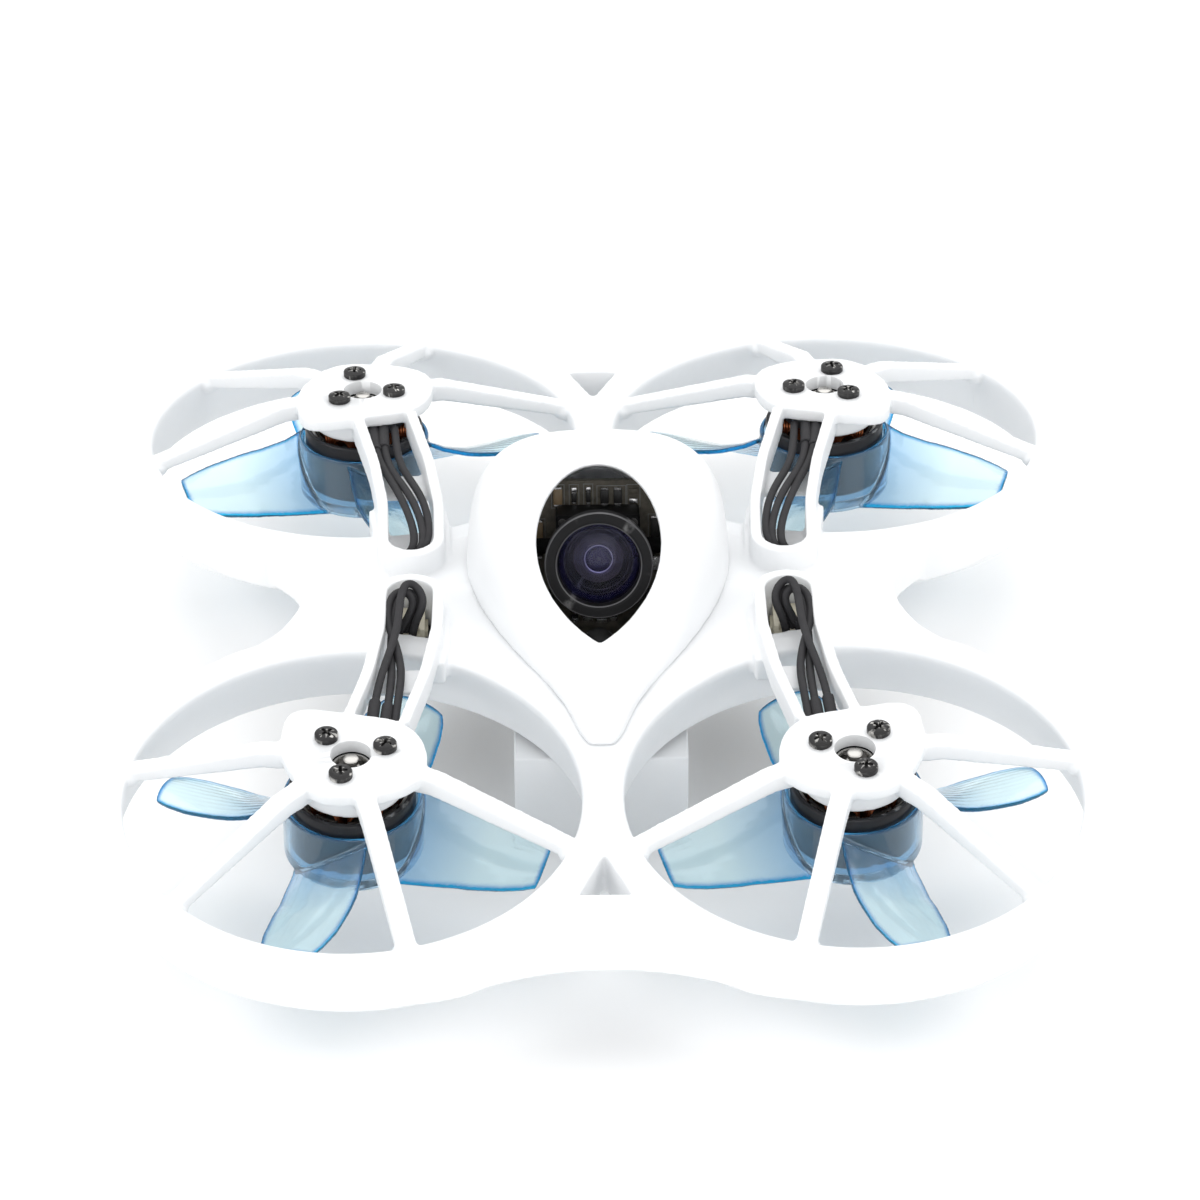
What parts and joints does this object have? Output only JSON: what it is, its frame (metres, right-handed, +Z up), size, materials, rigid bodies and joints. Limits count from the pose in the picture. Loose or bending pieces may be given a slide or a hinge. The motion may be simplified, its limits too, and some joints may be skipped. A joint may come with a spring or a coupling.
{
  "type": "ducted racing drone",
  "caption": "Small four-rotor racing drone with canted duct rings, pusher propellers under spoked hubs, a domed canopy round a tilting camera and a slide-in battery.",
  "frame": {"origin": "centre of the footprint at the bottom of the battery tray", "axes": "+Z up, nose and camera towards -Y, +X to the drone's own left"},
  "size_m": [0.0994, 0.1164, 0.0342],
  "materials": {
    "frame": "satin moulded polypropylene",
    "canopy": "satin moulded polypropylene",
    "prop": "clear tinted polycarbonate",
    "bell": "black anodised aluminium",
    "stator": "enamelled copper windings on a dark core",
    "steel": "ground steel",
    "screw": "black oxide",
    "wire": "matt silicone sleeve",
    "connector": "cream nylon",
    "board": "black solder mask",
    "camera": "satin black",
    "lens": "coated glass",
    "battery": "shrink wrap"
  },
  "bodies": {
    "airframe": {"duct_ring_front_left": "frame", "hub_and_spokes_front_left": "frame", "motor_base_front_left": "stator", "motor_lead_front_left": "wire", "motor_screw_1_front_left": "screw", "motor_screw_2_front_left": "screw", "motor_screw_3_front_left": "screw", "socket_front_left": "connector", "plug_front_left": "connector", "duct_ring_front_right": "frame", "hub_and_spokes_front_right": "frame", "motor_base_front_right": "stator", "motor_lead_front_right": "wire", "motor_screw_1_front_right": "screw", "motor_screw_2_front_right": "screw", "motor_screw_3_front_right": "screw", "socket_front_right": "connector", "plug_front_right": "connector", "duct_ring_rear_left": "frame", "hub_and_spokes_rear_left": "frame", "motor_base_rear_left": "stator", "motor_lead_rear_left": "wire", "motor_screw_1_rear_left": "screw", "motor_screw_2_rear_left": "screw", "motor_screw_3_rear_left": "screw", "socket_rear_left": "connector", "plug_rear_left": "connector", "duct_ring_rear_right": "frame", "hub_and_spokes_rear_right": "frame", "motor_base_rear_right": "stator", "motor_lead_rear_right": "wire", "motor_screw_1_rear_right": "screw", "motor_screw_2_rear_right": "screw", "motor_screw_3_rear_right": "screw", "socket_rear_right": "connector", "plug_rear_right": "connector", "centre_deck": "frame", "nose_bridge": "frame", "tail_bridge": "frame", "battery_tray": "frame", "canopy": "canopy", "flight_controller": "board", "camera_mount": "frame"},
    "rotor_front_left": {"motor_bell_front_left": "bell", "motor_shaft_front_left": "steel", "propeller_front_left": "prop"},
    "rotor_front_right": {"motor_bell_front_right": "bell", "motor_shaft_front_right": "steel", "propeller_front_right": "prop"},
    "rotor_rear_left": {"motor_bell_rear_left": "bell", "motor_shaft_rear_left": "steel", "propeller_rear_left": "prop"},
    "rotor_rear_right": {"motor_bell_rear_right": "bell", "motor_shaft_rear_right": "steel", "propeller_rear_right": "prop"},
    "camera": {"camera_housing": "camera", "lens_barrel": "camera", "lens_glass": "lens", "camera_board": "board"},
    "battery_pack": {"battery": "battery"}
  },
  "joints": [
    {"name": "spin_front_left", "type": "hinge", "parent": "airframe", "child": "rotor_front_left", "pos_m": [0.0244, -0.033, 0.0162], "axis": [0, -0.0872, 0.9962], "continuous": true},
    {"name": "spin_front_right", "type": "hinge", "parent": "airframe", "child": "rotor_front_right", "pos_m": [-0.0244, -0.033, 0.0162], "axis": [0, -0.0872, 0.9962], "continuous": true},
    {"name": "spin_rear_left", "type": "hinge", "parent": "airframe", "child": "rotor_rear_left", "pos_m": [0.0244, 0.033, 0.0162], "axis": [0, 0.0872, 0.9962], "continuous": true},
    {"name": "spin_rear_right", "type": "hinge", "parent": "airframe", "child": "rotor_rear_right", "pos_m": [-0.0244, 0.033, 0.0162], "axis": [0, 0.0872, 0.9962], "continuous": true},
    {"name": "camera_tilt", "type": "hinge", "parent": "airframe", "child": "camera", "pos_m": [0, 0.00226, 0.02212], "axis": [-1, 0, 0], "range_deg": [-6, 8]},
    {"name": "battery_slide", "type": "slide", "parent": "airframe", "child": "battery_pack", "axis": [0, 1, 0], "range_m": [0, 0.06]}
  ]
}
